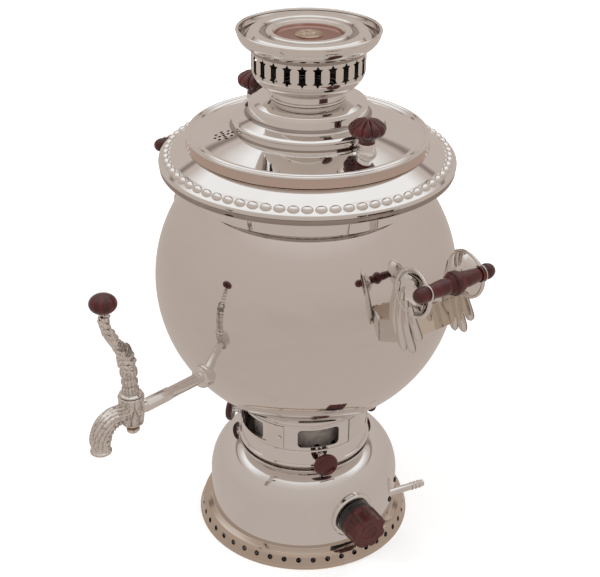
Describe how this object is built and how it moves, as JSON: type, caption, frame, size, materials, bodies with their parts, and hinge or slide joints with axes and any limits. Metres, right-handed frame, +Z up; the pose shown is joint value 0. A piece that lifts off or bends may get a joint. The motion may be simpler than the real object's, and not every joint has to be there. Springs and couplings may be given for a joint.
{
  "type": "gas-heated samovar",
  "caption": "Gas-heated tea samovar: ball-shaped water bowl with a turning lever tap, carrying handles, lift-off lid, pierced crown and pot plate on a domed burner base.",
  "frame": {"origin": "centre of the base's foot, on the surface it stands on", "axes": "+Z up through the flue, -Y out along the tap, +X towards the gas control and one side handle"},
  "size_m": [0.3966, 0.3825, 0.4849],
  "materials": {
    "polished_steel": "polished",
    "plated_casting": "polished, cast relief",
    "plain_steel": "plain",
    "brass": "plain",
    "cast_iron": "matt",
    "red_brown_plastic": "gloss",
    "black_plastic": "gloss",
    "rubber_seal": "matt",
    "tinted_brass": "satin"
  },
  "bodies": {
    "samovar": {"base_foot_ring": "polished_steel", "base_dome": "polished_steel", "base_plate": "plain_steel", "upstand_ring": "polished_steel", "knob_bezel": "polished_steel", "valve_body": "brass", "inlet_tail": "plated_casting", "inlet_screws": "plain_steel", "gas_pipe": "brass", "injector": "brass", "mixing_tube": "plain_steel", "burner_head": "cast_iron", "burner_cap": "cast_iron", "flame_guard": "plain_steel", "neck_skirt": "polished_steel", "neck_collar": "polished_steel", "bowl": "polished_steel", "flue_tube": "plain_steel", "mouth_flange": "polished_steel", "tap_collar": "plated_casting", "tap_seal": "rubber_seal", "tap_back_nut": "brass", "tap_body": "plated_casting", "right_strap": "plated_casting", "left_strap": "plated_casting", "right_front_ear": "plated_casting", "right_rear_ear": "plated_casting", "left_front_ear": "plated_casting", "left_rear_ear": "plated_casting", "right_grip": "red_brown_plastic", "left_grip": "red_brown_plastic", "tie_rods": "plain_steel", "grip_finials": "red_brown_plastic", "strap_rivets": "plated_casting"},
    "gas_control": {"valve_spindle": "brass", "knob_skirt": "black_plastic", "gas_knob": "red_brown_plastic"},
    "shutter": {"shutter_band": "polished_steel", "shutter_pin": "polished_steel"},
    "tap_control": {"tap_plug": "brass", "tap_nut": "plated_casting", "tap_lever": "plated_casting", "tap_knob": "red_brown_plastic"},
    "lid": {"lid_plate": "polished_steel", "lid_steps": "polished_steel", "lid_neck": "polished_steel", "lid_knob_stems": "plated_casting", "lid_knobs": "red_brown_plastic"},
    "crown_ring": {"crown": "polished_steel"},
    "pot_plate": {"top_plate": "polished_steel", "top_ornament": "tinted_brass"},
    "thumb_screw_front": {"screw_stem_front": "plated_casting", "screw_head_front": "red_brown_plastic"},
    "thumb_screw_right": {"screw_stem_right": "plated_casting", "screw_head_right": "red_brown_plastic"},
    "thumb_screw_left": {"screw_stem_left": "plated_casting", "screw_head_left": "red_brown_plastic"}
  },
  "joints": [
    {"name": "tap_turn", "type": "hinge", "parent": "samovar", "child": "tap_control", "pos_m": [0, -0.2045, 0.2055], "axis": [0, 0, 1], "range_deg": [-90, 90]},
    {"name": "gas_knob_turn", "type": "hinge", "parent": "samovar", "child": "gas_control", "pos_m": [0.09636, -0.02672, 0.046], "axis": [0.9636, -0.2672, 0], "range_deg": [-180, 0]},
    {"name": "shutter_turn", "type": "hinge", "parent": "samovar", "child": "shutter", "pos_m": [0, 0, 0.118], "axis": [0, 0, 1], "range_deg": [-40, 0]},
    {"name": "thumb_screw_front_turn", "type": "hinge", "parent": "samovar", "child": "thumb_screw_front", "pos_m": [0.06031, -0.03553, 0.098], "axis": [0.8616, -0.5075, 0], "range_deg": [0, 360]},
    {"name": "thumb_screw_right_turn", "type": "hinge", "parent": "samovar", "child": "thumb_screw_right", "pos_m": [0.01988, 0.06712, 0.098], "axis": [0.284, 0.9588, 0], "range_deg": [0, 360]},
    {"name": "thumb_screw_left_turn", "type": "hinge", "parent": "samovar", "child": "thumb_screw_left", "pos_m": [-0.06152, -0.0334, 0.098], "axis": [-0.8788, -0.4772, 0], "range_deg": [0, 360]},
    {"name": "lid_lift", "type": "slide", "parent": "samovar", "child": "lid", "axis": [0, 0, 1], "range_m": [0, 0.08]},
    {"name": "crown_lift", "type": "slide", "parent": "lid", "child": "crown_ring", "axis": [0, 0, 1], "range_m": [0, 0.04]},
    {"name": "pot_plate_lift", "type": "slide", "parent": "crown_ring", "child": "pot_plate", "axis": [0, 0, 1], "range_m": [0, 0.04]}
  ]
}
